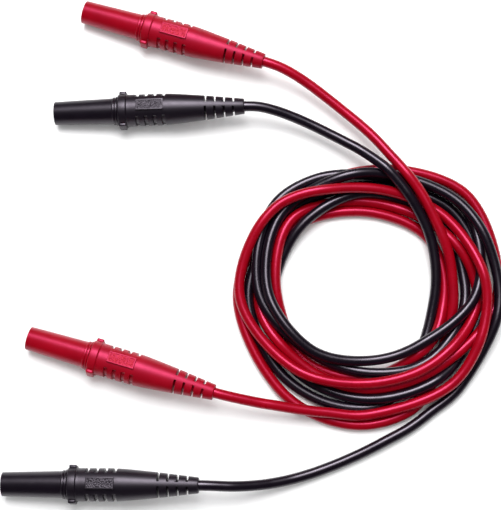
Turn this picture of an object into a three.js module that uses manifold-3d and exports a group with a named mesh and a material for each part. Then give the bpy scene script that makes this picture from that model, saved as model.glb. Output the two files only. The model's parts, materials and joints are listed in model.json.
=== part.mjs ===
/*
 * A pair of electrician's test leads, one red and one black, put away as one loose round coil.
 * Both ends of both leads carry the same straight, fully shrouded 4 mm plug.
 *
 * Units are millimetres and +Z is up. The surface that the leads lie on is Z = 0, and the origin is
 * the middle of the four plugs' footprint on it. A plug is modelled along its own +X axis, from its
 * mouth at X = 0 to the end of its strain relief, with its label plate on +Z.
 */
import * as THREE from 'three';
import { mergeVertices } from 'three/addons/utils/BufferGeometryUtils.js';
import Module from 'manifold-3d';

const wasm = await Module();
wasm.setup();

// ---- Driving dimensions -------------------------------------------------------------------------

const GAP = 0.3;             // clearance between neighbouring pieces
const ROUND_SIDES = 24;      // sides of a plug's round pieces
const SMALL_SIDES = 12;      // sides of its inner metal pieces
const MERGE_DISTANCE = 1e-4; // vertices closer than this are one vertex

const CORD_RADIUS = 1.75;
const CORD_SIDES = 8;
const CORD_STEP = 8;         // length of one straight step of a cord's tube

// Insulating sleeve: the rigid shroud round the contact, and the core that holds the contact.
const SLEEVE = {
  boreRadius: 3.35,
  mouthRadius: 3.95,
  rootRadius: 4.42,          // outside, where the shroud meets its shoulder ring
  shoulderStart: 20.2,
  shoulderRadius: 4.9,
  shoulderEnd: 21.8,
  floor: 20.5,               // bottom of the socket space
  barrelRadius: 3.6,         // the part held inside the grip
  barrelEnd: 27,
  coreRadius: 2.9,
  coreEnd: 32.5,
};

// Contact pin: rounded head, thin neck for the spring, shank in the core, crimp barrel behind it.
const PIN = {
  tip: 1.3,                  // the head is set back from the mouth, out of a finger's reach
  headRadius: 1.9,
  headEnd: 4,
  neckRadius: 1.25,
  seat: 16.8,
  seatRadius: 1.95,
  shankRadius: 1.45,
  barrelStart: 33.2,
  barrelRadius: 1.9,
  barrelBore: 1.2,
  barrelBottom: 34.5,
  barrelEnd: 41,
};

// Lantern spring: a cage of leaves between two rings, free to turn on the pin's neck.
const SPRING = {
  ringBore: 1.58,
  thickness: 0.22,
  bulge: 0.42,               // how far the middle of a leaf stands out from the rings
  ringLength: 1,
  leaves: 6,
  slotWidth: 0.5,
};

// Grip: one soft moulding with collar, finger notches, label plate and strain relief.
const GRIP = {
  collarRadius: 5.65,
  collarEnd: 25,
  bodyRadius: 5.45,
  notchedEnd: 39,
  notchedEndRadius: 5.4,
  bodyEnd: 51,
  bodyEndRadius: 4.25,
  end: 65,
  endRadius: 2.6,
};
const TAB = { length: 2.5, width: 4.4, reach: 6.3, root: 5 };
const NOTCH = { count: 4, first: 28, pitch: 3, length: 1.3, depth: 0.9, width: 6.4 };
const PLATE = { start: 28.4, length: 9.4, width: 3.9, top: 5.75, root: 4.8 };
const SLOT = { count: 4, first: 51.5, pitch: 3.15, length: 0.8, ribWidth: 1.7 };

// The stripped conductor and the last of the insulated cord, both inside the grip.
const STRANDS = { radius: 0.85, start: PIN.barrelBottom + GAP, end: 41.7 };
const CABLE_END = { start: STRANDS.end + GAP, end: GRIP.end };

// The coil of both leads.
const COIL = { x: 77.7, y: -16.55, innerRadius: 21.2, outerRadius: 47, height: 11.6, chamfer: 2.5 };
const COIL_SIDES = 40;

// Where the plugs lie: the middle of the mouth, the heading from mouth to cord, and the roll about
// the plug's own axis.
const PLUGS = {
  red_upper: { x: -19.06, y: 82.53, heading: -17.2, roll: -6, colour: 'red' },
  black_upper: { x: -28.53, y: 46.29, heading: 1.1, roll: -6, colour: 'black' },
  red_lower: { x: -35.71, y: -31.21, heading: -16.7, roll: -13, colour: 'red' },
  black_lower: { x: -43.33, y: -79.62, heading: -0.5, roll: -4, colour: 'black' },
};

// A plug lies on its mouth's rim and its collar, so its cord end is held a little above the surface.
const PLUG_TILT = Math.atan2(GRIP.collarRadius - SLEEVE.mouthRadius, SLEEVE.shoulderEnd + GAP);
const MOUTH_HEIGHT = SLEEVE.mouthRadius * Math.cos(PLUG_TILT);

// Each lead's two free stretches, between the plug's strain relief and the coil.
const FREE_CORDS = {
  red_cord_in: {
    colour: 'red',
    route: [
      [43.3, 63.2, 9.0], [47.2, 61.9, 8.9], [51.7, 59.8, 8.4], [57.6, 56.2, 7.4], [63.9, 51.5, 6.7],
      [70.2, 46.4, 6.3], [76.1, 41.3, 6.5], [80.9, 36.5, 7.1], [84.7, 31.9, 8.0],
    ],
  },
  red_cord_out: {
    colour: 'red',
    route: [
      [46.2, -53.9, 7.0], [41.7, -53.2, 7.3], [36.4, -52.2, 8.1], [31.2, -51.1, 8.7],
      [26.8, -50.0, 9.0],
    ],
  },
  black_cord_in: {
    colour: 'black',
    route: [
      [36.7, 47.5, 9.0], [41.0, 47.4, 8.9], [46.0, 46.4, 8.4], [52.3, 44.4, 7.4], [59.0, 41.6, 6.6],
      [65.2, 38.5, 6.4], [70.9, 35.4, 6.8], [76.2, 32.2, 7.6],
    ],
  },
  black_cord_out: {
    colour: 'black',
    route: [
      [83.3, -65.3, 2.3], [75.8, -69.1, 1.9], [67.4, -72.8, 1.9], [59.1, -75.9, 2.1],
      [51.9, -78.0, 2.8], [45.3, -79.4, 4.3], [38.8, -80.2, 6.2], [32.4, -80.5, 8.0],
      [26.1, -80.3, 8.8], [21.9, -80.2, 9.0],
    ],
  },
};

// ---- Materials ----------------------------------------------------------------------------------

const COLOURS = { red: 0xb8002e, black: 0x17151a };

function shroudPlastic(colour) {
  return new THREE.MeshStandardMaterial({ color: COLOURS[colour], roughness: 0.38, metalness: 0 });
}

function gripRubber(colour) {
  return new THREE.MeshStandardMaterial({ color: COLOURS[colour], roughness: 0.48, metalness: 0 });
}

function cordRubber(colour) {
  return new THREE.MeshStandardMaterial({ color: COLOURS[colour], roughness: 0.42, metalness: 0 });
}

function pinBrass() {
  return new THREE.MeshStandardMaterial({ color: 0xc9a24a, roughness: 0.3, metalness: 1 });
}

function springMetal() {
  return new THREE.MeshStandardMaterial({ color: 0xc8c4ba, roughness: 0.28, metalness: 1 });
}

function copperStrands() {
  return new THREE.MeshStandardMaterial({ color: 0xb5693d, roughness: 0.4, metalness: 1 });
}

// ---- Building blocks ----------------------------------------------------------------------------

// A turned piece on the +X axis. Each outline point is [distance along the axis, radius].
function turned(outline, sides) {
  const points = outline.map(([along, radius]) => new THREE.Vector2(radius, along));
  return new THREE.LatheGeometry(points, sides).rotateZ(-Math.PI / 2);
}

// A turned piece with a hole through it: the outline runs round the wall and closes on itself.
function turnedRing(outline, sides) {
  return turned([...outline, outline[0]], sides);
}

// A box given by its lowest and highest corner.
function block(low, high) {
  const size = low.map((value, axis) => high[axis] - value);
  const middle = low.map((value, axis) => (high[axis] + value) / 2);
  return new THREE.BoxGeometry(...size).translate(...middle);
}

function toSolid(geometry) {
  geometry.deleteAttribute('normal');
  geometry.deleteAttribute('uv');
  const merged = mergeVertices(geometry, MERGE_DISTANCE);
  return new wasm.Manifold(new wasm.Mesh({
    numProp: 3,
    vertProperties: merged.attributes.position.array,
    triVerts: Uint32Array.from(merged.index.array),
  }));
}

function toGeometry(solid) {
  const mesh = solid.getMesh();
  const geometry = new THREE.BufferGeometry();
  geometry.setAttribute('position', new THREE.BufferAttribute(Float32Array.from(mesh.vertProperties), 3));
  geometry.setIndex(new THREE.BufferAttribute(Uint32Array.from(mesh.triVerts), 1));
  geometry.computeVertexNormals();
  return geometry;
}

function named(name, geometry, material) {
  const mesh = new THREE.Mesh(geometry, material);
  mesh.name = name;
  return mesh;
}

// ---- Pieces of a plug ---------------------------------------------------------------------------

function sleeveShape() {
  const pinHole = PIN.shankRadius + GAP;
  return turnedRing([
    [0, SLEEVE.boreRadius],
    [0, SLEEVE.mouthRadius],
    [SLEEVE.shoulderStart, SLEEVE.rootRadius],
    [SLEEVE.shoulderStart, SLEEVE.shoulderRadius],
    [SLEEVE.shoulderEnd, SLEEVE.shoulderRadius],
    [SLEEVE.shoulderEnd, SLEEVE.barrelRadius],
    [SLEEVE.barrelEnd, SLEEVE.barrelRadius],
    [SLEEVE.barrelEnd, SLEEVE.coreRadius],
    [SLEEVE.coreEnd, SLEEVE.coreRadius],
    [SLEEVE.coreEnd, pinHole],
    [SLEEVE.floor, pinHole],
    [SLEEVE.floor, SLEEVE.boreRadius],
  ], ROUND_SIDES);
}

function pinShape() {
  return turned([
    [PIN.tip, 0],
    [PIN.tip + 0.3, PIN.headRadius * 0.6],
    [PIN.tip + 1, PIN.headRadius],
    [PIN.headEnd, PIN.headRadius],
    [PIN.headEnd, PIN.neckRadius],
    [PIN.seat, PIN.neckRadius],
    [PIN.seat, PIN.seatRadius],
    [SLEEVE.floor - GAP, PIN.seatRadius],
    [SLEEVE.floor - GAP, PIN.shankRadius],
    [PIN.barrelStart, PIN.shankRadius],
    [PIN.barrelStart, PIN.barrelRadius],
    [PIN.barrelEnd, PIN.barrelRadius],
    [PIN.barrelEnd, PIN.barrelBore],
    [PIN.barrelBottom, PIN.barrelBore],
    [PIN.barrelBottom, 0],
  ], SMALL_SIDES);
}

// The leaves bow out as half a cosine wave between the two rings.
function springShape() {
  const start = PIN.headEnd + GAP;
  const end = PIN.seat - GAP;
  const leafStart = start + SPRING.ringLength;
  const leafEnd = end - SPRING.ringLength;
  const bowSteps = 4;
  const inner = [[start, SPRING.ringBore]];
  for (let step = 0; step <= bowSteps; step += 1) {
    const part = step / bowSteps;
    const bow = SPRING.bulge * Math.sin(Math.PI * part);
    inner.push([leafStart + part * (leafEnd - leafStart), SPRING.ringBore + bow]);
  }
  inner.push([end, SPRING.ringBore]);
  const outer = inner.map(([along, radius]) => [along, radius + SPRING.thickness]);
  let cage = toSolid(turnedRing([...outer, ...inner.reverse()], SMALL_SIDES));
  for (let leaf = 0; leaf < SPRING.leaves; leaf += 1) {
    const slot = block(
      [leafStart, -SPRING.slotWidth / 2, 0],
      [leafEnd, SPRING.slotWidth / 2, 2 * PIN.headRadius],
    );
    slot.rotateX(((leaf + 0.5) / SPRING.leaves) * 2 * Math.PI);
    cage = cage.subtract(toSolid(slot));
  }
  return toGeometry(cage);
}

// The bare moulding, before tabs, plate, notches and slots: outside first, then the stepped bore.
function gripBody() {
  const start = SLEEVE.shoulderEnd + GAP;
  return turnedRing([
    [start, SLEEVE.barrelRadius + GAP],
    [start, GRIP.collarRadius],
    [GRIP.collarEnd, GRIP.collarRadius],
    [GRIP.collarEnd, GRIP.bodyRadius],
    [GRIP.notchedEnd, GRIP.notchedEndRadius],
    [GRIP.bodyEnd, GRIP.bodyEndRadius],
    [GRIP.end, GRIP.endRadius],
    [GRIP.end, CORD_RADIUS + GAP],
    [PIN.barrelEnd + GAP, CORD_RADIUS + GAP],
    [PIN.barrelEnd + GAP, PIN.barrelRadius + GAP],
    [SLEEVE.coreEnd + GAP, PIN.barrelRadius + GAP],
    [SLEEVE.coreEnd + GAP, SLEEVE.coreRadius + GAP],
    [SLEEVE.barrelEnd + GAP, SLEEVE.coreRadius + GAP],
    [SLEEVE.barrelEnd + GAP, SLEEVE.barrelRadius + GAP],
  ], ROUND_SIDES);
}

function gripShape() {
  const clear = 2 * GRIP.collarRadius; // beyond the outside of the grip
  let grip = toSolid(gripBody());
  grip = grip.add(toSolid(block(
    [PLATE.start, -PLATE.width / 2, PLATE.root],
    [PLATE.start + PLATE.length, PLATE.width / 2, PLATE.top],
  )));
  for (const side of [-1, 1]) {
    const turn = side * Math.PI / 2;
    const tabStart = SLEEVE.shoulderEnd + GAP + 0.2;
    const tab = block(
      [tabStart, -TAB.width / 2, TAB.root],
      [tabStart + TAB.length, TAB.width / 2, TAB.reach],
    );
    grip = grip.add(toSolid(tab.rotateX(turn)));
    for (let index = 0; index < NOTCH.count; index += 1) {
      const at = NOTCH.first + index * NOTCH.pitch;
      const notch = block(
        [at, -NOTCH.width / 2, GRIP.notchedEndRadius - NOTCH.depth],
        [at + NOTCH.length, NOTCH.width / 2, clear],
      );
      grip = grip.subtract(toSolid(notch.rotateX(turn)));
    }
    for (let index = 0; index < SLOT.count; index += 1) {
      const at = SLOT.first + index * SLOT.pitch;
      const slot = block([at, -clear, SLOT.ribWidth / 2], [at + SLOT.length, clear, clear]);
      grip = grip.subtract(toSolid(slot.rotateX(turn)));
    }
  }
  return toGeometry(grip);
}

function rodShape(rod, radius, sides) {
  return turned([[rod.start, 0], [rod.start, radius], [rod.end, radius], [rod.end, 0]], sides);
}

function plug(name, place) {
  const group = new THREE.Group();
  group.add(
    named(`${name}_sleeve`, sleeveShape(), shroudPlastic(place.colour)),
    named(`${name}_contact_pin`, pinShape(), pinBrass()),
    named(`${name}_contact_spring`, springShape(), springMetal()),
    named(`${name}_grip`, gripShape(), gripRubber(place.colour)),
    named(`${name}_strands`, rodShape(STRANDS, STRANDS.radius, CORD_SIDES), copperStrands()),
    named(`${name}_cable_end`, rodShape(CABLE_END, CORD_RADIUS, SMALL_SIDES), cordRubber(place.colour)),
  );
  const radians = THREE.MathUtils.degToRad;
  group.rotation.set(radians(place.roll), -PLUG_TILT, radians(place.heading), 'ZYX');
  group.position.set(place.x, place.y, MOUTH_HEIGHT);
  return group;
}

// ---- Cords --------------------------------------------------------------------------------------

function cordShape(route) {
  const path = new THREE.CatmullRomCurve3(route.map((point) => new THREE.Vector3(...point)));
  const section = new THREE.Shape();
  section.absarc(0, 0, CORD_RADIUS, 0, 2 * Math.PI);
  return new THREE.ExtrudeGeometry(section, {
    extrudePath: path,
    steps: Math.ceil(path.getLength() / CORD_STEP),
    curveSegments: CORD_SIDES / 2, // a full circle gets two sides for each segment
  });
}

// The outer shape of both leads' turns: a flat ring with bevelled edges.
function coilShape() {
  const outline = [
    [COIL.innerRadius, COIL.chamfer],
    [COIL.innerRadius + COIL.chamfer, 0],
    [COIL.outerRadius - COIL.chamfer, 0],
    [COIL.outerRadius, COIL.chamfer],
    [COIL.outerRadius, COIL.height - COIL.chamfer],
    [COIL.outerRadius - COIL.chamfer, COIL.height],
    [COIL.innerRadius + COIL.chamfer, COIL.height],
    [COIL.innerRadius, COIL.height - COIL.chamfer],
  ];
  const points = [...outline, outline[0]].map(([radius, height]) => new THREE.Vector2(radius, height));
  return new THREE.LatheGeometry(points, COIL_SIDES).rotateX(Math.PI / 2).translate(COIL.x, COIL.y, 0);
}

// ---- The pair of leads --------------------------------------------------------------------------

const testLeads = new THREE.Group();
for (const [name, place] of Object.entries(PLUGS)) {
  testLeads.add(plug(name, place));
}
for (const [name, cord] of Object.entries(FREE_CORDS)) {
  testLeads.add(named(name, cordShape(cord.route), cordRubber(cord.colour)));
}
testLeads.add(named('coil', coilShape(), cordRubber('red')));

export default testLeads;
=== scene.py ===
"""The looks of a pair of test leads, red and black, wound into one loose coil.

Everything is in metres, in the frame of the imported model: +Z is up and the leads lie on Z = 0.
A plug's own axes are +X from its mouth to its cord, and +Z through its label plate.
"""

import json
import math

import bmesh
import bpy
import numpy as np
from mathutils import Matrix, Vector


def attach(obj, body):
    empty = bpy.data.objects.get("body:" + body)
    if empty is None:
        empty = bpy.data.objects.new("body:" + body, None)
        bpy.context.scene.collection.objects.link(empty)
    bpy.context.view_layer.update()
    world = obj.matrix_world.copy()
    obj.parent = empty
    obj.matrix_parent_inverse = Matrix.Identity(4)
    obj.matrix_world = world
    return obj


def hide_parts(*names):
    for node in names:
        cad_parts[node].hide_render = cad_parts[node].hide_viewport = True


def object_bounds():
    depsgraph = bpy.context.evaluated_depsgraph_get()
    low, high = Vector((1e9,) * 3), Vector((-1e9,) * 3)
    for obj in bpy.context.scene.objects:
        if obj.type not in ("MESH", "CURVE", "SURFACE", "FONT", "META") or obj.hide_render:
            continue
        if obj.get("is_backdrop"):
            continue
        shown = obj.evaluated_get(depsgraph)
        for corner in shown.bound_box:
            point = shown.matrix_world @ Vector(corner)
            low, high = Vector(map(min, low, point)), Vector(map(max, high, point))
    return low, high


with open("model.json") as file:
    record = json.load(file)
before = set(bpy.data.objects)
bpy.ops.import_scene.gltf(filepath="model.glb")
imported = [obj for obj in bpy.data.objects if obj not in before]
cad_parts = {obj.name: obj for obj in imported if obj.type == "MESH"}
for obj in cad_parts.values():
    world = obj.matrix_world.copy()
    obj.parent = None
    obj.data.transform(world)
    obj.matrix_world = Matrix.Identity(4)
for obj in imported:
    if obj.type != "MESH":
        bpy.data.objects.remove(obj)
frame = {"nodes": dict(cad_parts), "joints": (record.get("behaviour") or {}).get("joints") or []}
CAD_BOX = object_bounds()

MM = 0.001

# ---- Driving dimensions: plugs, in millimetres along and across the plug's own axis ---------------

ROUND_SIDES = 96            # sides of a plug's turned plastic surfaces
METAL_SIDES = 48            # and of its turned metal ones
CORNER_STEPS = 4            # steps round a small moulded edge
BLOCK_STEPS = 3             # and round an edge of a tab or of the label plate
SHARP_DEGREES = 38          # an edge sharper than this stays sharp in the shading
CLEARANCE = 0.3             # between the pieces inside the grip

MOUTH_RADIUS = 3.95
BORE_RADIUS = 3.35
ROOT_RADIUS = 4.42          # the shroud where it meets its shoulder
SOCKET_FLOOR = 20.5
PIN_HOLE_RADIUS = 1.75
SHOULDER_RINGS = [(20.2, 20.9, 4.7), (21.25, 21.9, 4.95)]   # from, to, radius
BARREL_RADIUS = 3.6
BARREL_END = 27.0
CORE_RADIUS = 2.9
CORE_END = 32.5

SLEEVE_EDGE = 0.16

GRIP_START = 22.1
COLLAR_RADIUS = 5.65
COLLAR_END = 25.0
COLLAR_FRONT_EDGE = 0.4
COLLAR_BACK_EDGE = 0.35
COLLAR_ROOT_EDGE = 0.3
BODY_RADIUS = 5.45
NOTCHED_END = 39.0
NOTCHED_END_RADIUS = 5.4
BODY_BEND = 4.0             # how far the change of taper is spread
BODY_END = 51.0
BODY_END_RADIUS = 4.25
BODY_END_BEND = 2.5
GRIP_END = 65.0
GRIP_END_RADIUS = 2.6
GRIP_END_EDGE = 0.25
CORD_BORE_START = 44.0
CORD_GAP = 0.02             # between the cord and its bore in the grip
GRIP_STEP = 0.8             # between rings on the plain stretches
PLAIN_MARGIN = 1.0          # left free of plain rings at both ends of the body

TAB_START = 22.3
TAB_LENGTH = 2.5
TAB_WIDTH = 4.4
TAB_ROOT = 5.0
TAB_REACH = 6.3
TAB_EDGE = 0.4

CUT_EDGE = 0.14             # the ramp at each end of a notch or a slot
CUT_MARKS = (0, 0.2, 0.5, 0.8, 1)   # where along a ramp it has a ring

NOTCH_COUNT = 4
NOTCH_FIRST = 28.0
NOTCH_PITCH = 3.0
NOTCH_LENGTH = 1.3
NOTCH_DEPTH = 0.85
NOTCH_FROM = 40             # the sector of each side that a notch spans, in degrees from the plate
NOTCH_TO = 132
NOTCH_RAMP = 8              # how gently it starts and ends, in degrees

SLOT_COUNT = 4
SLOT_FIRST = 51.5
SLOT_PITCH = 3.15
SLOT_LENGTH = 0.8
SLOT_GAP = 0.05             # a slot is cut almost down to the cord
RIB_EDGE = 0.15
RIB_HALF_WIDTH = 0.85       # of the ribs left along the top and the bottom

PLATE_START = 28.4
PLATE_LENGTH = 9.4
PLATE_WIDTH = 3.9
PLATE_TOP = 5.75
PLATE_ROOT = 4.8
PLATE_RIM = 0.35
PLATE_RECESS = 0.12
PLATE_DRAFT = 0.06          # how far the recess narrows on its way down
PLATE_EDGE = 0.12
PLATE_TOLERANCE = 0.001     # a face this close to the plate's top belongs to it

PIN_TIP = 1.3
PIN_NOSE = 0.9              # length of the rounded nose
PIN_NOSE_FLAT = 0.12        # the angle, in radians, at which the nose's curve starts
PIN_NOSE_POINTS = 9
PIN_HEAD_START = 1.2        # behind the tip
PIN_HEAD_RADIUS = 1.9
PIN_HEAD_END = 4.0
PIN_NECK_RADIUS = 1.25
PIN_SEAT = 16.8
PIN_SEAT_RADIUS = 1.95
PIN_SHANK_RADIUS = 1.45
PIN_CRIMP_START = 33.2
PIN_CRIMP_RADIUS = 1.9
PIN_CRIMP_BORE = 1.2
PIN_CRIMP_BOTTOM = 34.5
PIN_END = 41.0
PIN_EDGE = 0.1

SPRING_START = 4.3
SPRING_END = 16.5
SPRING_RING = 1.0
SPRING_BORE = 1.58
SPRING_THICKNESS = 0.22
SPRING_BULGE = 0.42
SPRING_LEAVES = 6
SPRING_GAP_DEGREES = 17
SPRING_EDGE = 0.05
LEAF_POINTS_ACROSS = 6
LEAF_STEPS = 16
LEAF_FULLNESS = 0.8         # below 1, a leaf's bow is flatter in the middle than a sine

# How each plug is rolled about its own axis, in degrees.
PLUG_ROLLS = {"red_upper": -6, "black_upper": -6, "red_lower": -13, "black_lower": -4}

# ---- Driving dimensions: cords ---------------------------------------------------------------------

CORD_RADIUS = 0.00175
CORD_INSIDE = 62.0          # where a cord's line starts inside the strain relief, in mm
CORD_BEVEL_STEPS = 8        # steps round a quarter of the cord

# The uncoiled stretches, from the upper plug to the coil and from the coil to the lower plug.
FREE_IN = {
    "red": [
        (0.0433, 0.0632, 0.0090), (0.0472, 0.0619, 0.0089), (0.0517, 0.0598, 0.0084),
        (0.0576, 0.0562, 0.0074), (0.0639, 0.0515, 0.0067), (0.0702, 0.0464, 0.0063),
        (0.0761, 0.0413, 0.0065), (0.0809, 0.0365, 0.0071), (0.0847, 0.0319, 0.0080),
    ],
    "black": [
        (0.0367, 0.0475, 0.0090), (0.0410, 0.0474, 0.0089), (0.0460, 0.0464, 0.0084),
        (0.0523, 0.0444, 0.0074), (0.0590, 0.0416, 0.0066), (0.0652, 0.0385, 0.0064),
        (0.0709, 0.0354, 0.0068), (0.0762, 0.0322, 0.0076),
    ],
}
FREE_OUT = {
    "red": [
        (0.0462, -0.0539, 0.0070), (0.0417, -0.0532, 0.0073), (0.0364, -0.0522, 0.0081),
        (0.0312, -0.0511, 0.0087), (0.0268, -0.0500, 0.0090),
    ],
    "black": [
        (0.0833, -0.0653, 0.0023), (0.0758, -0.0691, 0.0019), (0.0674, -0.0728, 0.0019),
        (0.0591, -0.0759, 0.0021), (0.0519, -0.0780, 0.0028), (0.0453, -0.0794, 0.0043),
        (0.0388, -0.0802, 0.0062), (0.0324, -0.0805, 0.0080), (0.0261, -0.0803, 0.0088),
        (0.0219, -0.0802, 0.0090),
    ],
}

# The coil. A station is (bearing in degrees clockwise from +Y, radius in mm, layer in cords).
COIL_CENTRE = (0.0777, -0.01655)
STATION_BEARING = 45
COIL_START = {
    "red": [
        (16, 44.0, 6), (27, 39.1, 6), (39, 34.9, 6), (61, 30.6, 6), (86, 27.9, 5.5),
        (105, 27.9, 3.2), (119, 29.2, 0.8), (135, 33.8, 0), (157, 40.5, 0), (180, 43.3, 0),
        (202, 43.6, 0), (225, 42.6, 0), (270, 42.6, 0), (315, 40.6, 0),
    ],
    "black": [
        (11, 41.6, 6.2), (27, 34.9, 6.2), (48, 29.6, 6.2), (72, 25.9, 5.5), (95, 24.5, 3.4),
        (118, 24.9, 1.3), (133, 26.3, 0.6), (149, 29.5, 0.3), (165, 34.6, 0.2), (180, 37.5, 0.2),
        (205, 38.7, 0.2), (232, 39.2, 0.2), (270, 38.5, 0.3), (315, 40.0, 0.4),
    ],
}
# Whole turns: the radius and the layer at each eighth of the turn, starting at bearing 0.
COIL_TURNS = {
    "red": [
        ([40.8, 48.2, 43.4, 34.7, 32.5, 32.4, 38.5, 35.0], [0.0, 0.3, 0.8, 1.5, 1.6, 1.6, 1.6, 1.8]),
        ([29.9, 29.0, 26.4, 27.0, 28.5, 31.8, 32.2, 36.0], [2.0, 2.0, 2.0, 2.0, 2.2, 2.4, 2.6, 2.2]),
        ([33.0, 34.0, 37.7, 31.3, 29.7, 34.8, 42.9, 42.4], [1.8, 2.2, 2.9, 3.3, 3.5, 4.0, 4.5, 4.6]),
        ([36.2, 36.9, 39.1, 40.7, 40.1], [4.6, 4.6, 4.6, 4.6, 4.6]),
    ],
    "black": [
        ([38.4, 42.0, 40.5, 36.0, 34.3, 34.3, 31.2, 33.2], [0.5, 0.5, 0.5, 0.8, 1.0, 1.2, 1.9, 2.1]),
        ([35.3, 35.5, 33.1, 30.2, 26.3, 27.4, 36.0, 43.0], [2.2, 2.3, 2.3, 2.5, 2.6, 2.9, 3.0, 3.2]),
        ([41.2, 45.0, 36.2, 25.0, 22.9, 27.4, 34.0, 40.2], [3.3, 3.3, 3.3, 3.5, 3.6, 3.7, 3.8, 4.1]),
        ([41.5, 43.8, 43.0, 43.0], [4.2, 4.2, 4.2, 4.2]),
    ],
}
COIL_END = {
    "red": [(1640, 42.0, 4.6), (1651, 45.0, 4.6)],
    "black": [(1593, 44.3, 4.2), (1603, 46.4, 4.2)],
}

# Laying the coil down: the turns start spread in height, and sink until they rest on each other.
LINE_STEP = 0.002
CURVE_STEPS = 24            # points worked out between two stations
SMOOTHING = 0.8             # how far a point moves towards the middle of its neighbours
LAY_SPACING = 0.0038        # height between layers before they sink
LAY_CLEARANCE = 0.00003
LAY_STEPS = 500
LAY_SINK = 0.00013          # first step's fall
LAY_SIDE_SHARE = 0.3        # how much of a push between two cords may go sideways
LAY_SMOOTH_SHARE = 0.7      # the share of the steps in which the cords are kept smooth
LAY_SMOOTH_TIMES = 4
LAY_RETURN = 0.95           # what is left of a sideways shift after each of those steps
LAY_PUSHES = 4              # in each step
LAY_PUSH_SHARE = 0.32       # of an overlap, taken up by each of the two cords in one push
LAY_PAIR_REACH = 1.5        # points further apart than this many cords never touch
LAY_NEIGHBOURS = 6          # points nearer than this along one cord don't push each other
LAY_EASE_STEPS = 80         # how gently a cord's freedom to shift sets in where it enters the coil

# ---- Driving dimensions: camera and light ----------------------------------------------------------

VIEW_TARGET = (0.03835, -0.00225, 0.0)
VIEW_DISTANCE = 0.56
VIEW_ELEVATION = 80
VIEW_WIDTH = 0.17034        # the width of the surface that the picture spans, at the target
SENSOR_WIDTH = 36.0
FLOOR_WIDTH = 4.0

KEY_ELEVATION = 66
KEY_AZIMUTH = 8             # turned from +Y towards -X
KEY_DISTANCE = 1.2
KEY_SIZE = 0.8
KEY_POWER = 13.0
GLOSS_SIZE = 0.5            # a second lamp beside the key that only shows as the highlight
GLOSS_POWER = 12.0
GLOSS_ELEVATION = 56
FILL_STRENGTH = 1.05        # light from the room, as it falls on dull surfaces
FILL_GLOSS = 0.05           # and as it shows in glossy ones
FILL_TOWARDS = (0, 0.5, 0.87)   # where the room is brightest
FILL_DARK = -0.3            # cosine of the angle from there at which it is dark, and then bright
FILL_BRIGHT = 0.8


# ---- Camera ----------------------------------------------------------------------------------------

def make_camera():
    data = bpy.data.cameras.new("camera")
    data.sensor_fit = "HORIZONTAL"
    data.sensor_width = SENSOR_WIDTH
    data.lens = SENSOR_WIDTH * VIEW_DISTANCE / VIEW_WIDTH
    data.clip_start = 0.01
    camera = bpy.data.objects.new("camera", data)
    bpy.context.scene.collection.objects.link(camera)
    elevation = math.radians(VIEW_ELEVATION)
    back = Vector((0, -math.cos(elevation), math.sin(elevation)))
    camera.location = Vector(VIEW_TARGET) + VIEW_DISTANCE * back
    camera.rotation_euler = (math.pi / 2 - elevation, 0, 0)
    bpy.context.scene.camera = camera


# ---- Mesh helpers ----------------------------------------------------------------------------------

def new_object(name, data, material, body, place=None):
    piece = bpy.data.objects.new(name, data)
    bpy.context.scene.collection.objects.link(piece)
    data.materials.append(material)
    if place is not None:
        data.transform(place)
    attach(piece, body)
    return piece


def rounded(corners):
    """An outline with each corner (along, radius, cut) rounded off over that cut."""
    points = []
    for index, (along, radius, cut) in enumerate(corners):
        here = Vector((along, radius))
        if cut == 0:
            points.append(here)
            continue
        before = Vector(corners[index - 1][:2])
        after = Vector(corners[(index + 1) % len(corners)][:2])
        first = here + cut * (before - here).normalized()
        last = here + cut * (after - here).normalized()
        for step in range(CORNER_STEPS + 1):
            t = step / CORNER_STEPS
            points.append((1 - t) ** 2 * first + 2 * t * (1 - t) * here + t * t * last)
    return [(point.x, point.y) for point in points]


def rings_mesh(name, rings, closed):
    """A mesh through rings of points. A closed one joins its last ring to its first."""
    rings = np.asarray(rings, float) * MM
    count, sides = rings.shape[:2]
    faces = []
    for ring in range(count if closed else count - 1):
        following = (ring + 1) % count
        for side in range(sides):
            beside = (side + 1) % sides
            faces.append((
                ring * sides + side, ring * sides + beside,
                following * sides + beside, following * sides + side,
            ))
    if not closed:
        faces.append(tuple(range(sides)))
        faces.append(tuple((count - 1) * sides + side for side in range(sides)))
    mesh = bpy.data.meshes.new(name)
    mesh.from_pydata(rings.reshape(-1, 3).tolist(), [], faces)
    finish_mesh(mesh)
    return mesh


def shade_smooth(mesh):
    """Shades a mesh smooth, but for its sharp edges."""
    mesh.shade_smooth()
    mesh.set_sharp_from_angle(angle=math.radians(SHARP_DEGREES))


def finish_mesh(mesh):
    """Points the faces out and shades them."""
    work = bmesh.new()
    work.from_mesh(mesh)
    bmesh.ops.recalc_face_normals(work, faces=work.faces)
    work.to_mesh(mesh)
    work.free()
    shade_smooth(mesh)


def turned_rings(outline, sides=ROUND_SIDES):
    """The rings of a turned surface about +X."""
    angles = np.arange(sides) * 2 * math.pi / sides
    return [
        np.stack([np.full(sides, along), radius * np.sin(angles), radius * np.cos(angles)], axis=1)
        for along, radius in outline
    ]


def add_block(work, low, high, edge):
    """Adds a box with rounded edges to a mesh that is being made."""
    made = bmesh.ops.create_cube(work, size=1)
    middle = (Vector(low) + Vector(high)) / 2
    size = Vector(high) - Vector(low)
    for vertex in made["verts"]:
        vertex.co = Vector(a * b for a, b in zip(vertex.co, size)) + middle
    edges = {e for vertex in made["verts"] for e in vertex.link_edges}
    bmesh.ops.bevel(
        work, geom=list(edges), offset=edge, segments=BLOCK_STEPS, profile=0.5, affect="EDGES",
    )


# ---- Materials -------------------------------------------------------------------------------------

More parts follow.
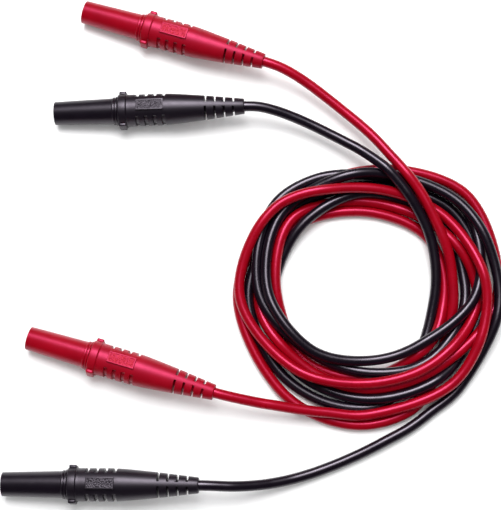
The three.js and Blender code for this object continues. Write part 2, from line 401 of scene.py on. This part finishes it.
PAPER = (0.93, 0.93, 0.935)
RED = (0.285, 0.0001, 0.0050)
BLACK = (0.0040, 0.0018, 0.0054)
RED_GLOSS = ((1.0, 0.13, 0.32), 0.85)      # the tint and the strength of the highlights
BLACK_GLOSS = ((0.95, 0.85, 1.0), 0.46)
CLOUD_SCALE = 160           # how fine the cloudiness of a moulded piece's colour is
CLOUD_STRENGTH = 0.06
PATCH_SCALE = 420           # and the unevenness of its gloss
GRAIN_STRENGTH = 0.5
STIPPLE_SCALE = 1900
STIPPLE_DEPTH = 0.0002
STIPPLE_STRENGTH = 0.9
STIPPLE_ROUGHNESS = 0.42
SCRATCH_DEPTH = 0.00003
SCRATCH_STRENGTH = 0.4


def new_material(name):
    material = bpy.data.materials.new(name)
    material.use_nodes = True
    nodes = material.node_tree.nodes
    return material, nodes, material.node_tree.links, nodes["Principled BSDF"]


def noise(nodes, links, vector, scale, detail):
    texture = nodes.new("ShaderNodeTexNoise")
    texture.inputs["Scale"].default_value = scale
    texture.inputs["Detail"].default_value = detail
    links.new(vector, texture.inputs["Vector"])
    return texture.outputs["Fac"]


def spread(nodes, links, value, low, high):
    """Maps a value from 0..1 to low..high."""
    mapped = nodes.new("ShaderNodeMapRange")
    mapped.inputs["To Min"].default_value = low
    mapped.inputs["To Max"].default_value = high
    links.new(value, mapped.inputs["Value"])
    return mapped.outputs["Result"]


def tinted(nodes, links, value, dark, light):
    ramp = nodes.new("ShaderNodeValToRGB")
    ramp.color_ramp.elements[0].color = (*dark, 1)
    ramp.color_ramp.elements[1].color = (*light, 1)
    ramp.color_ramp.elements[0].position = 0.3
    ramp.color_ramp.elements[1].position = 0.7
    links.new(value, ramp.inputs["Fac"])
    return ramp.outputs["Color"]


def bumped(nodes, links, height, distance, strength):
    bump = nodes.new("ShaderNodeBump")
    bump.inputs["Distance"].default_value = distance
    bump.inputs["Strength"].default_value = strength
    links.new(height, bump.inputs["Height"])
    return bump.outputs["Normal"]


def set_gloss(shader, gloss):
    tint, strength = gloss
    shader.inputs["Specular Tint"].default_value = (*tint, 1)
    shader.inputs["Specular IOR Level"].default_value = strength


def moulded(name, colour, gloss, roughness, grain, depth):
    """Moulded plastic or rubber: a fine grain, faint cloudiness and uneven gloss."""
    material, nodes, links, shader = new_material(name)
    place = nodes.new("ShaderNodeTexCoord").outputs["Object"]
    cloud = noise(nodes, links, place, CLOUD_SCALE, 3)
    dark = [channel * (1 - 2 * CLOUD_STRENGTH) for channel in colour]
    light = [channel * (1 + CLOUD_STRENGTH) for channel in colour]
    links.new(tinted(nodes, links, cloud, dark, light), shader.inputs["Base Color"])
    patches = noise(nodes, links, place, PATCH_SCALE, 4)
    uneven = spread(nodes, links, patches, roughness - 0.05, roughness + 0.06)
    links.new(uneven, shader.inputs["Roughness"])
    fine = noise(nodes, links, place, grain, 2)
    links.new(bumped(nodes, links, fine, depth, GRAIN_STRENGTH), shader.inputs["Normal"])
    set_gloss(shader, gloss)
    return material


def stippled(name, colour, gloss):
    """The recessed panel of the label plate: the same rubber with a coarse raised stipple.
    Its colour is painted paler towards the middle of each stipple cell, as a painted highlight.
    """
    material, nodes, links, shader = new_material(name)
    place = nodes.new("ShaderNodeTexCoord").outputs["Object"]
    cells = nodes.new("ShaderNodeTexVoronoi")
    cells.inputs["Scale"].default_value = STIPPLE_SCALE
    links.new(place, cells.inputs["Vector"])
    # painted highlight: up to 1.5 times paler where the distance to the cell's middle is small
    light = [min(1, channel * 1.5 + 0.02) for channel in colour]
    colour_with_painted_highlight = tinted(nodes, links, cells.outputs["Distance"], light, colour)
    links.new(colour_with_painted_highlight, shader.inputs["Base Color"])
    normal = bumped(nodes, links, cells.outputs["Distance"], STIPPLE_DEPTH, STIPPLE_STRENGTH)
    links.new(normal, shader.inputs["Normal"])
    shader.inputs["Roughness"].default_value = STIPPLE_ROUGHNESS
    set_gloss(shader, gloss)
    return material


def metal(name, colour, roughness, scratch_scale, stretch):
    """Turned or drawn metal: fine lines across the given axis and slightly uneven gloss."""
    material, nodes, links, shader = new_material(name)
    place = nodes.new("ShaderNodeTexCoord").outputs["Object"]
    mapping = nodes.new("ShaderNodeMapping")
    mapping.inputs["Scale"].default_value = stretch
    links.new(place, mapping.inputs["Vector"])
    lines = noise(nodes, links, mapping.outputs["Vector"], scratch_scale, 3)
    dark = [channel * 0.8 for channel in colour]
    links.new(tinted(nodes, links, lines, dark, colour), shader.inputs["Base Color"])
    uneven = spread(nodes, links, lines, roughness - 0.06, roughness + 0.1)
    links.new(uneven, shader.inputs["Roughness"])
    scratches = bumped(nodes, links, lines, SCRATCH_DEPTH, SCRATCH_STRENGTH)
    links.new(scratches, shader.inputs["Normal"])
    shader.inputs["Metallic"].default_value = 1
    return material


def floor_paper():
    material, _, _, shader = new_material("floor_paper")
    shader.inputs["Base Color"].default_value = (*PAPER, 1)
    shader.inputs["Roughness"].default_value = 0.35
    shader.inputs["Specular IOR Level"].default_value = 0.3
    return material


def make_materials():
    colours = {"red": (RED, RED_GLOSS), "black": (BLACK, BLACK_GLOSS)}
    made = {}
    for colour, (shade, gloss) in colours.items():
        made[f"{colour}_shroud"] = moulded(f"{colour}_shroud", shade, gloss, 0.32, 2600, 0.00001)
        made[f"{colour}_grip"] = moulded(f"{colour}_grip", shade, gloss, 0.40, 3000, 0.00002)
        made[f"{colour}_cord"] = moulded(f"{colour}_cord", shade, gloss, 0.28, 2200, 0.00001)
        made[f"{colour}_plate"] = stippled(f"{colour}_plate", shade, gloss)
    made["brass"] = metal("contact_brass", (0.80, 0.58, 0.26), 0.25, 900, (6, 1, 1))
    made["plating"] = metal("spring_plating", (0.75, 0.73, 0.69), 0.24, 700, (1, 5, 5))
    made["copper"] = metal("copper_strands", (0.78, 0.38, 0.20), 0.34, 1500, (0.4, 3, 3))
    return made


# ---- Pieces of a plug ------------------------------------------------------------------------------

def sleeve_mesh(name):
    (first_start, first_end, first_radius), (last_start, last_end, last_radius) = SHOULDER_RINGS
    edge = SLEEVE_EDGE
    outline = rounded([
        (0, BORE_RADIUS, edge),
        (0, MOUTH_RADIUS, edge),
        (first_start, ROOT_RADIUS, edge),
        (first_start, first_radius, edge),
        (first_end, first_radius, edge),
        (first_end, ROOT_RADIUS, edge),
        (last_start, ROOT_RADIUS, edge),
        (last_start, last_radius, edge),
        (last_end, last_radius, edge),
        (last_end, BARREL_RADIUS, 0),
        (BARREL_END, BARREL_RADIUS, edge),
        (BARREL_END, CORE_RADIUS, 0),
        (CORE_END, CORE_RADIUS, edge),
        (CORE_END, PIN_HOLE_RADIUS, 0),
        (SOCKET_FLOOR, PIN_HOLE_RADIUS, 0),
        (SOCKET_FLOOR, BORE_RADIUS, edge),
    ])
    return rings_mesh(name, turned_rings(outline), closed=True)


def pin_mesh(name):
    edge = PIN_EDGE
    nose = [
        (PIN_TIP + PIN_NOSE * (1 - math.cos(a)), PIN_HEAD_RADIUS * math.sin(a))
        for a in np.linspace(PIN_NOSE_FLAT, math.pi / 2, PIN_NOSE_POINTS)
    ]
    outline = nose + rounded([
        (PIN_TIP + PIN_HEAD_START, PIN_HEAD_RADIUS, 0),
        (PIN_HEAD_END, PIN_HEAD_RADIUS, edge),
        (PIN_HEAD_END, PIN_NECK_RADIUS, edge),
        (PIN_SEAT, PIN_NECK_RADIUS, edge),
        (PIN_SEAT, PIN_SEAT_RADIUS, edge),
        (SOCKET_FLOOR - CLEARANCE, PIN_SEAT_RADIUS, edge),
        (SOCKET_FLOOR - CLEARANCE, PIN_SHANK_RADIUS, 0),
        (PIN_CRIMP_START, PIN_SHANK_RADIUS, 0),
        (PIN_CRIMP_START, PIN_CRIMP_RADIUS, edge),
        (PIN_END, PIN_CRIMP_RADIUS, edge),
        (PIN_END, PIN_CRIMP_BORE, edge),
        (PIN_CRIMP_BOTTOM, PIN_CRIMP_BORE, 0),
    ])
    return rings_mesh(name, turned_rings(outline, METAL_SIDES), closed=False)


def leaf_rings(start_degrees, end_degrees, inner_line, outer_line):
    """A curved strip between two angles: rings of four sides run along it."""
    angles = np.radians(np.linspace(start_degrees, end_degrees, LEAF_POINTS_ACROSS))
    rings = []
    for (along, inner), (_, outer) in zip(inner_line, outer_line):
        loop = [(along, outer * math.sin(a), outer * math.cos(a)) for a in angles]
        loop += [(along, inner * math.sin(a), inner * math.cos(a)) for a in angles[::-1]]
        rings.append(loop)
    return rings


def spring_mesh(name):
    """Lantern spring: six bowed leaves between two rings."""
    inner_line = []
    leaf_start = SPRING_START + SPRING_RING
    leaf_length = SPRING_END - SPRING_START - 2 * SPRING_RING
    for part in np.linspace(0, 1, LEAF_STEPS + 1):
        bow = SPRING_BULGE * math.sin(math.pi * part) ** LEAF_FULLNESS
        inner_line.append((leaf_start + part * leaf_length, SPRING_BORE + bow))
    outer_line = [(along, radius + SPRING_THICKNESS) for along, radius in inner_line]
    work = bmesh.new()
    pitch = 360 / SPRING_LEAVES
    strips = []
    for leaf in range(SPRING_LEAVES):
        start = leaf * pitch + SPRING_GAP_DEGREES / 2
        rings = leaf_rings(start, start + pitch - SPRING_GAP_DEGREES, inner_line, outer_line)
        strips.append(rings_mesh(f"{name}_leaf", rings, closed=False))
    for start in (SPRING_START, SPRING_END - SPRING_RING):
        ring = rounded([
            (start, SPRING_BORE, SPRING_EDGE),
            (start, SPRING_BORE + SPRING_THICKNESS, SPRING_EDGE),
            (start + SPRING_RING, SPRING_BORE + SPRING_THICKNESS, SPRING_EDGE),
            (start + SPRING_RING, SPRING_BORE, SPRING_EDGE),
        ])
        strips.append(rings_mesh(f"{name}_ring", turned_rings(ring, METAL_SIDES), closed=True))
    for strip in strips:
        work.from_mesh(strip)
        bpy.data.meshes.remove(strip)
    mesh = bpy.data.meshes.new(name)
    work.to_mesh(mesh)
    work.free()
    shade_smooth(mesh)
    return mesh


def window(along, start, length, edge=CUT_EDGE):
    """1 inside a stretch of the axis, 0 outside it, with short ramps at both ends."""
    rise = np.clip((along - start) / edge, 0, 1)
    fall = np.clip((start + length - along) / edge, 0, 1)
    level = np.minimum(rise, fall)
    return level * level * (3 - 2 * level)


def window_stations(start, length):
    """Where a ring is needed to draw the two ramps of a window."""
    ramp = [mark * CUT_EDGE for mark in CUT_MARKS]
    return [start + rise for rise in ramp] + [start + length - fall for fall in ramp]


def grip_outline():
    return rounded([
        (GRIP_START, BARREL_RADIUS + CLEARANCE, 0),
        (GRIP_START, COLLAR_RADIUS, COLLAR_FRONT_EDGE),
        (COLLAR_END, COLLAR_RADIUS, COLLAR_BACK_EDGE),
        (COLLAR_END, BODY_RADIUS, COLLAR_ROOT_EDGE),
        (NOTCHED_END, NOTCHED_END_RADIUS, BODY_BEND),
        (BODY_END, BODY_END_RADIUS, BODY_END_BEND),
        (GRIP_END, GRIP_END_RADIUS, GRIP_END_EDGE),
        (GRIP_END, CORD_RADIUS / MM + CORD_GAP, 0),
    ])


def grip_stations(main, notches, slots):
    """Where the notched and tapering stretch of the grip needs a ring."""
    marks = [mark for start in notches for mark in window_stations(start, NOTCH_LENGTH)]
    marks += [mark for start in slots for mark in window_stations(start, SLOT_LENGTH)]
    plain = np.arange(COLLAR_END + PLAIN_MARGIN, GRIP_END - PLAIN_MARGIN, GRIP_STEP)
    stations = np.unique(np.round(np.concatenate([main[:, 0], marks, plain]), 3))
    return stations[stations <= main[:, 0].max()]


def grip_ring(along, radius, notches, slots):
    """One ring of the grip's outside, drawn in where a notch or a slot is cut."""
    angles = np.arange(ROUND_SIDES) * 2 * math.pi / ROUND_SIDES
    side, up = radius * np.sin(angles), radius * np.cos(angles)
    from_plate = np.degrees(np.minimum(angles, 2 * math.pi - angles))
    sector = window(from_plate, NOTCH_FROM, NOTCH_TO - NOTCH_FROM, NOTCH_RAMP)
    notched = sum(window(along, start, NOTCH_LENGTH) for start in notches)
    cut = 1 - notched * sector * NOTCH_DEPTH / radius
    slotted = sum(window(along, start, SLOT_LENGTH) for start in slots)
    beyond = np.clip((np.abs(side) - RIB_HALF_WIDTH) / RIB_EDGE, 0, 1)
    floor = CORD_RADIUS / MM + SLOT_GAP
    share = cut * (1 - slotted * beyond * (1 - floor / radius))
    return np.stack([np.full(ROUND_SIDES, along), side * share, up * share], axis=1)


def grip_rings():
    outline = np.array(grip_outline())
    body = outline[:, 0] > COLLAR_END + COLLAR_ROOT_EDGE
    notches = [NOTCH_FIRST + index * NOTCH_PITCH for index in range(NOTCH_COUNT)]
    slots = [SLOT_FIRST + index * SLOT_PITCH for index in range(SLOT_COUNT)]
    main = outline[body][:-1]
    stations = grip_stations(main, notches, slots)
    radii = np.interp(stations, main[:, 0], main[:, 1])
    outer = [tuple(point) for point in outline[~body]] + list(zip(stations, radii))
    bore = [
        (GRIP_END, CORD_RADIUS / MM + CORD_GAP),
        (CORD_BORE_START, CORD_RADIUS / MM + CORD_GAP),
        (CORE_END + CLEARANCE, PIN_CRIMP_RADIUS + CLEARANCE),
        (CORE_END + CLEARANCE, CORE_RADIUS + CLEARANCE),
        (BARREL_END + CLEARANCE, CORE_RADIUS + CLEARANCE),
        (BARREL_END + CLEARANCE, BARREL_RADIUS + CLEARANCE),
    ]
    return [grip_ring(*point, notches, slots) for point in outer] + turned_rings(bore)


def grip_mesh(name):
    """Collar, notched body and strain relief as one skin, with its tabs and its label plate."""
    mesh = rings_mesh(name, grip_rings(), closed=True)
    work = bmesh.new()
    for side in (-1, 1):
        reach = sorted((side * TAB_ROOT, side * TAB_REACH))
        low = (TAB_START, reach[0], -TAB_WIDTH / 2)
        high = (TAB_START + TAB_LENGTH, reach[1], TAB_WIDTH / 2)
        add_block(work, low, high, TAB_EDGE)
    add_plate(work)
    bmesh.ops.scale(work, vec=(MM, MM, MM), verts=work.verts)
    work.from_mesh(mesh)
    work.to_mesh(mesh)
    work.free()
    shade_smooth(mesh)
    return mesh


def add_plate(work):
    low = (PLATE_START, -PLATE_WIDTH / 2, PLATE_ROOT)
    high = (PLATE_START + PLATE_LENGTH, PLATE_WIDTH / 2, PLATE_TOP)
    add_block(work, low, high, PLATE_EDGE)
    level = [f for f in work.faces if f.calc_center_median().z > PLATE_TOP - PLATE_TOLERANCE]
    top = [face for face in level if face.calc_area() > PLATE_LENGTH]
    bmesh.ops.inset_region(work, faces=top, thickness=PLATE_RIM, depth=0)
    bmesh.ops.inset_region(work, faces=top, thickness=PLATE_DRAFT, depth=-PLATE_RECESS)
    for face in top:
        face.material_index = 1


def plug_places():
    """Each plug's own axes in the frame, from the joint of its contact spring."""
    places = {}
    middle = (SPRING_START + SPRING_END) / 2 * MM
    for joint in frame["joints"]:
        name = joint["child"].removesuffix("_contact_spring")
        forward = Vector(joint["axis"]).normalized()
        mouth = Vector(joint["pos_m"]) - middle * forward
        sideways = Vector((0, 0, 1)).cross(forward).normalized()
        up = forward.cross(sideways)
        axes = Matrix((forward, sideways, up)).transposed().to_4x4()
        roll = Matrix.Rotation(math.radians(PLUG_ROLLS[name]), 4, "X")
        places[name] = Matrix.Translation(mouth) @ axes @ roll
    return places


def make_plug(name, place, materials):
    colour = name.split("_")[0]
    shown = [
        ("sleeve", sleeve_mesh, f"{colour}_shroud", "leads", f"{colour}_shroud"),
        ("contact_pin", pin_mesh, "brass", "leads", "contact_brass"),
        ("contact_spring", spring_mesh, "plating", f"{name}_contact_spring", "spring_plating"),
        ("grip", grip_mesh, f"{colour}_grip", "leads", f"{colour}_grip"),
    ]
    made = []
    for part, build, material, body, finish in shown:
        skin = f"{name}_{part}_skin"
        piece = new_object(skin, build(skin), materials[material], body, place)
        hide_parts(f"{name}_{part}")
        made.append(piece)
    made[-1].data.materials.append(materials[f"{colour}_plate"])
    made.append(dressed(f"{name}_strands", materials["copper"]))
    made.append(dressed(f"{name}_cable_end", materials[f"{colour}_cord"]))
    return made


def dressed(name, material):
    """A solid of the frame that is shown as it is, in its own material."""
    node = frame["nodes"][name]
    node.data.materials.clear()
    node.data.materials.append(material)
    return node


# ---- Cords -----------------------------------------------------------------------------------------

def coil_stations(colour):
    """The cord's way round the coil, as (x, y, layer)."""
    stations = list(COIL_START[colour])
    for turn, (radii, layers) in enumerate(COIL_TURNS[colour]):
        for eighth, (radius, layer) in enumerate(zip(radii, layers)):
            stations.append((360 * (turn + 1) + STATION_BEARING * eighth, radius, layer))
    stations += COIL_END[colour]
    points = []
    for bearing, radius, layer in stations:
        turned = math.radians(bearing)
        x = COIL_CENTRE[0] + radius * MM * math.sin(turned)
        y = COIL_CENTRE[1] + radius * MM * math.cos(turned)
        points.append((x, y, layer))
    return points


def smooth_line(points):
    """A smooth curve through points in the plane, evenly spaced; the third value goes along."""
    points = np.asarray(points, float)
    ends = np.vstack([2 * points[0] - points[1], points, 2 * points[-1] - points[-2]])
    gaps = np.sqrt(np.linalg.norm(np.diff(ends[:, :2], axis=0), axis=1))
    line = []
    for index in range(1, len(points)):
        p0, p1, p2, p3 = ends[index - 1:index + 3]
        d1, d2, d3 = gaps[index - 1:index + 2]
        m1 = p2 - p1 + d2 * ((p1 - p0) / d1 - (p2 - p0) / (d1 + d2))
        m2 = p2 - p1 + d2 * ((p3 - p2) / d3 - (p3 - p1) / (d2 + d3))
        for t in np.linspace(0, 1, CURVE_STEPS, endpoint=False):
            line.append(
                (2 * t ** 3 - 3 * t ** 2 + 1) * p1 + (t ** 3 - 2 * t ** 2 + t) * m1
                + (3 * t ** 2 - 2 * t ** 3) * p2 + (t ** 3 - t ** 2) * m2
            )
    line = np.array(line + [points[-1]])
    along = distance_along(line)
    wanted = np.linspace(0, along[-1], round(along[-1] / LINE_STEP) + 1)
    return np.stack([np.interp(wanted, along, line[:, axis]) for axis in range(3)], axis=1)


def distance_along(line):
    steps = np.linalg.norm(np.diff(line[:, :2], axis=0), axis=1)
    return np.concatenate([[0], np.cumsum(steps)])


def free_heights(line, first, last):
    """The height of each point of a cord's two free stretches, and nan in the coil."""
    along = distance_along(line)
    heights = np.full(len(line), np.nan)
    for stretch, measured in ((first, along), (last[::-1], along[-1] - along)):
        stretch = np.array(stretch)
        reached = distance_along(stretch)
        held = measured <= reached[-1]
        heights[held] = np.interp(measured[held], reached, stretch[:, 2])
    return heights


def smoothed(values, inner, times):
    for _ in range(times):
        middle = 0.5 * (values[inner - 1] + values[inner + 1])
        values[inner] += SMOOTHING * (middle - values[inner])


def touching_pairs(plan, owner, apart):
    """The pairs of points that may come to touch: close in plan, and not neighbours on one cord."""
    reach = np.linalg.norm(plan[:, None] - plan[None], axis=2)
    one, other = np.where(np.triu(reach < LAY_PAIR_REACH * apart, 1))
    far = (owner[one] != owner[other]) | (np.abs(one - other) > LAY_NEIGHBOURS)
    return one[far], other[far]


def easing(coiled, inner):
    """How free each point is to shift: 0 where its height is held, rising to 1 in the coil."""
    ease = coiled.astype(float)
    for _ in range(LAY_EASE_STEPS):
        smoothed(ease, inner, 1)
        ease[~coiled] = 0
    return ease


def push_apart(points, one, other, apart, ease):
    """Moves overlapping cords apart, mostly up and down, and keeps them above the surface."""
    between = points[one] - points[other]
    distance = np.linalg.norm(between, axis=1)
    near = distance < apart
    overlap = apart - distance[near, None]
    push = LAY_PUSH_SHARE * overlap * between[near] / distance[near, None]
    push[:, :2] *= LAY_SIDE_SHARE
    for cord, way in ((one[near], 1), (other[near], -1)):
        moved = way * push
        moved[:, :2] *= ease[cord, None]
        np.add.at(points, cord, moved)
    points[:, 2] = np.maximum(points[:, 2], CORD_RADIUS + LAY_CLEARANCE)


def lay_down(lines, heights):
    """Lets the turns sink onto the surface and onto each other, without passing through."""
    apart = 2 * CORD_RADIUS + LAY_CLEARANCE * 2
    plan = np.vstack([line[:, :2] for line in lines])
    layer = np.concatenate([line[:, 2] for line in lines])
    held_height = np.concatenate(heights)
    coiled = np.isnan(held_height)
    height = np.where(coiled, CORD_RADIUS + layer * LAY_SPACING, held_height)
    points = np.column_stack([plan, height])
    held = points[~coiled]
    lengths = [len(line) for line in lines]
    ends = np.cumsum([0] + lengths)
    inner = np.setdiff1d(np.arange(len(points)), np.concatenate([ends[:-1], ends[1:] - 1]))
    one, other = touching_pairs(plan, np.repeat(np.arange(len(lines)), lengths), apart)
    ease = easing(coiled, inner)
    for step in range(LAY_STEPS):
        part = step / LAY_STEPS
        smoothing = part < LAY_SMOOTH_SHARE
        times = LAY_SMOOTH_TIMES if smoothing else 1
        points[coiled, 2] -= LAY_SINK * (1 - part)
        smoothed(points[:, 2], inner, times)
        shift = points[:, :2] - plan
        smoothed(shift, inner, times)
        points[:, :2] = plan + shift * (LAY_RETURN if smoothing else 1)
        for _ in range(LAY_PUSHES):
            push_apart(points, one, other, apart, ease)
        points[~coiled] = held
    return [points[start:end] for start, end in zip(ends[:-1], ends[1:])]


def on_axis(place, along):
    return tuple(place @ Vector((along * MM, 0, 0)))


def cord_routes(places):
    lines, heights = [], []
    for colour in ("red", "black"):
        upper, lower = places[f"{colour}_upper"], places[f"{colour}_lower"]
        first = [on_axis(upper, CORD_INSIDE), on_axis(upper, GRIP_END)] + FREE_IN[colour]
        last = FREE_OUT[colour] + [on_axis(lower, GRIP_END), on_axis(lower, CORD_INSIDE)]
        stations = coil_stations(colour)
        points = [(x, y, stations[0][2]) for x, y, _ in first] + stations
        points += [(x, y, stations[-1][2]) for x, y, _ in last]
        line = smooth_line(points)
        lines.append(line)
        heights.append(free_heights(line, first, last))
    return lay_down(lines, heights)


def make_cord(name, line, material):
    data = bpy.data.curves.new(name, "CURVE")
    data.dimensions = "3D"
    data.bevel_depth = CORD_RADIUS
    data.bevel_resolution = CORD_BEVEL_STEPS
    data.use_fill_caps = True
    spline = data.splines.new("POLY")
    spline.points.add(len(line) - 1)
    for point, place in zip(spline.points, line):
        point.co = (*place, 1)
    spline.use_smooth = True
    return new_object(name, data, material, "leads")


# ---- Floor and light -------------------------------------------------------------------------------

def make_floor():
    mesh = bpy.data.meshes.new("floor")
    half = FLOOR_WIDTH / 2
    corners = [(-half, -half, 0), (half, -half, 0), (half, half, 0), (-half, half, 0)]
    mesh.from_pydata(corners, [], [(0, 1, 2, 3)])
    mesh.materials.append(floor_paper())
    floor = bpy.data.objects.new("floor", mesh)
    bpy.context.scene.collection.objects.link(floor)
    floor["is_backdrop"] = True


def make_lamp(name, size, power, degrees):
    data = bpy.data.lights.new(name, "AREA")
    data.shape = "DISK"
    data.size = size
    data.energy = power
    lamp = bpy.data.objects.new(name, data)
    bpy.context.scene.collection.objects.link(lamp)
    elevation = math.radians(degrees)
    azimuth = math.radians(KEY_AZIMUTH)
    level = math.cos(elevation)
    towards = Vector((-math.sin(azimuth) * level, math.cos(azimuth) * level, math.sin(elevation)))
    lamp.location = Vector(VIEW_TARGET) + KEY_DISTANCE * towards
    lamp.rotation_euler = towards.to_track_quat("Z", "Y").to_euler()
    return lamp


def make_fill():
    """A white room, brightest behind the leads, that shows only faintly in glossy surfaces."""
    world = bpy.data.worlds.new("studio")
    world.use_nodes = True
    nodes, links = world.node_tree.nodes, world.node_tree.links
    background = nodes["Background"]
    background.inputs["Color"].default_value = (1, 1, 1, 1)
    facing = nodes.new("ShaderNodeVectorMath")
    facing.operation = "DOT_PRODUCT"
    facing.inputs[1].default_value = FILL_TOWARDS
    links.new(nodes.new("ShaderNodeTexCoord").outputs["Generated"], facing.inputs[0])
    level = nodes.new("ShaderNodeMapRange")
    level.inputs["From Min"].default_value = FILL_DARK
    level.inputs["From Max"].default_value = FILL_BRIGHT
    level.inputs["To Max"].default_value = FILL_STRENGTH
    links.new(facing.outputs["Value"], level.inputs["Value"])
    links.new(level.outputs["Result"], background.inputs["Strength"])
    faint = nodes.new("ShaderNodeBackground")
    faint.inputs["Strength"].default_value = FILL_GLOSS
    faint.inputs["Color"].default_value = (1, 1, 1, 1)
    mixed = nodes.new("ShaderNodeMixShader")
    links.new(nodes.new("ShaderNodeLightPath").outputs["Is Glossy Ray"], mixed.inputs["Fac"])
    links.new(background.outputs["Background"], mixed.inputs[1])
    links.new(faint.outputs["Background"], mixed.inputs[2])
    links.new(mixed.outputs["Shader"], nodes["World Output"].inputs["Surface"])
    bpy.context.scene.world = world


def make_lights():
    make_fill()
    make_lamp("key", KEY_SIZE, KEY_POWER, KEY_ELEVATION)
    highlight = make_lamp("highlight", GLOSS_SIZE, GLOSS_POWER, GLOSS_ELEVATION)
    highlight.visible_diffuse = False
    bpy.context.scene.view_settings.view_transform = "Standard"


# ---- The scene -------------------------------------------------------------------------------------

make_camera()
PLACES = plug_places()
MATERIALS = make_materials()
for COLOUR, LINE in zip(("red", "black"), cord_routes(PLACES)):
    make_cord(f"{COLOUR}_lead_cord", LINE, MATERIALS[f"{COLOUR}_cord"])
    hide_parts(f"{COLOUR}_cord_in", f"{COLOUR}_cord_out", "coil")
PLUGS = {name: make_plug(name, place, MATERIALS) for name, place in PLACES.items()}
make_floor()
make_lights()

BOXES = {"cad": CAD_BOX, "all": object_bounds()}
BOXES = {name: [list(corner) for corner in box] for name, box in BOXES.items()}
